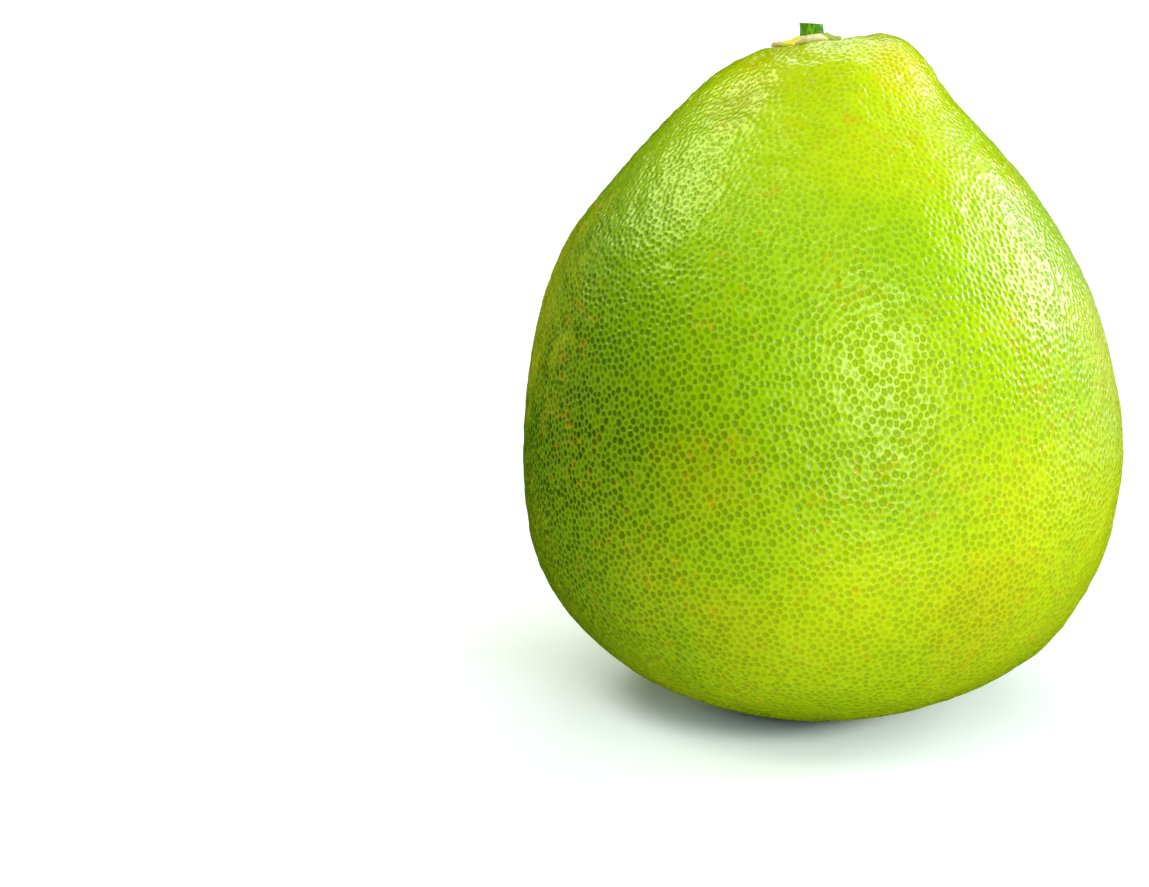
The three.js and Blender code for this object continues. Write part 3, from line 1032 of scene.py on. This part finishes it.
def make_stem(material):
    side = stem_side()
    end = stem_cut()
    middles = [(0, 0, -STEM_SINK), (STEM_LEAN[0] * STEM_LENGTH, STEM_LEAN[1] * STEM_LENGTH, STEM_LENGTH)]
    points = sum(side + end, []) + middles
    cut = [0.0] * len(side) * STEM_SIDES + [1.0] * len(end) * STEM_SIDES + [0.0, 1.0]
    faces = ring_faces(len(side + end), STEM_SIDES)
    stem = mesh_object("stem_detail", on_seat(points, CALYX_THICKNESS + GAP), faces, material)
    set_attribute(stem, "cut", "FLOAT", "POINT", cut)
    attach(stem, "root")
    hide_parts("stem")


# ---- Stage, light and camera ----

def make_floor():
    """A pale table with painted light glowing from it, except in a painted shadow right under the fruit."""
    nodes = Nodes("floor")
    nodes.surface("Base Color", nodes.mix(nodes.noise(60, detail=2), *FLOOR_COLOURS))
    # Painted light: the floor's glow, left out in a painted shadow under the fruit
    from_painted_shadow = nodes.distance(PAINTED_SHADOW_MIDDLE)
    glow = nodes.ramp(from_painted_shadow, PAINTED_SHADOW_RADIUS * MM, PAINTED_LIGHT_RADIUS * MM, 0.0, PAINTED_FLOOR_LIGHT)
    nodes.surface("Emission Color", PAINTED_LIGHT_TINT)
    nodes.surface("Emission Strength", glow)
    nodes.surface("Roughness", 0.6)
    nodes.surface("Specular IOR Level", 0.2)
    sides = ((-1, -1), (1, -1), (1, 1), (-1, 1))
    corners = [(x * FLOOR_HALF, y * FLOOR_HALF, 0) for x, y in sides]
    floor = mesh_object("floor", corners, [(0, 1, 2, 3)], nodes.material)
    floor.visible_glossy = False


def add_light(name, direction, distance, size, radiance, shape="RECTANGLE", at=(0, 0, 0.1), tint=(1, 1, 1),
              gloss=True, diffuse=True):
    """A soft area light that faces the fruit, or another point at. size is a width and a height, or one
    diameter. gloss and diffuse say whether it shows in reflections and lights the surfaces."""
    light = bpy.data.lights.new(name, "AREA")
    light.shape = shape
    light.size = size[0]
    light.size_y = size[-1]
    area = math.pi * size[0] ** 2 / 4 if shape == "DISK" else size[0] * size[-1]
    light.energy = radiance * math.pi * area
    light.color = tint
    item = bpy.data.objects.new(name, light)
    turn, lift = (math.radians(angle) for angle in direction)
    away = Vector((math.sin(turn) * math.cos(lift), -math.cos(turn) * math.cos(lift), math.sin(lift)))
    item.location = Vector(at) + distance * away
    item.rotation_euler = away.to_track_quat("Z", "Y").to_euler()
    item.visible_glossy = gloss
    item.visible_diffuse = diffuse
    item.visible_camera = False
    bpy.context.scene.collection.objects.link(item)


def light_world():
    """A dim surrounding, brighter in front and to the right than behind and to the left."""
    world = bpy.data.worlds.new("studio")
    world.use_nodes = True
    tree = world.node_tree
    towards = tree.nodes.new("ShaderNodeVectorMath")
    towards.operation = "DOT_PRODUCT"
    towards.inputs[1].default_value = WORLD_TOWARDS
    tree.links.new(tree.nodes.new("ShaderNodeTexCoord").outputs["Generated"], towards.inputs[0])
    ramp = tree.nodes.new("ShaderNodeMapRange")
    tree.links.new(towards.outputs["Value"], ramp.inputs["Value"])
    ramp.inputs["From Min"].default_value = -0.6
    ramp.inputs["From Max"].default_value = 0.9
    ramp.inputs["To Min"].default_value = WORLD_DIM
    ramp.inputs["To Max"].default_value = WORLD_BRIGHT
    tree.links.new(ramp.outputs[0], tree.nodes["Background"].inputs["Strength"])
    world.cycles_visibility.glossy = False
    bpy.context.scene.world = world


def light_studio():
    light_world()
    bpy.context.scene.view_settings.view_transform = "Standard"
    for name, (width, radiance) in UMBRELLA.items():
        add_light(name, UMBRELLA_DIRECTION, UMBRELLA_DISTANCE, (width,), radiance, "DISK",
                  tint=UMBRELLA_TINT)
    for name, settings in LIGHTS.items():
        add_light(name, **settings)


def make_camera():
    lift = CAMERA_ELEVATION
    right = Vector((1, 0, 0))
    forward = Vector((0, math.cos(lift), -math.sin(lift)))
    up = Vector((0, math.sin(lift), math.cos(lift)))
    aside = (TARGET_PIXEL[0] - PHOTO_WIDTH / 2) * PIXEL
    above = (TARGET_PIXEL[1] - PHOTO_HEIGHT / 2) * PIXEL
    place = Vector((0, 0, TARGET_HEIGHT)) - CAMERA_DISTANCE * forward - aside * right + above * up
    data = bpy.data.cameras.new("camera")
    data.sensor_width = SENSOR_WIDTH
    data.lens = CAMERA_DISTANCE / PIXEL * SENSOR_WIDTH / PHOTO_WIDTH
    data.clip_end = CLIP_END
    camera = bpy.data.objects.new("camera", data)
    camera.location = place * MM
    camera.rotation_euler = (math.pi / 2 - lift, 0, 0)
    bpy.context.scene.collection.objects.link(camera)
    bpy.context.scene.camera = camera


make_camera()
make_floor()
light_studio()
make_rind(rind_material())
make_calyx(calyx_material())
make_stem(stem_material())
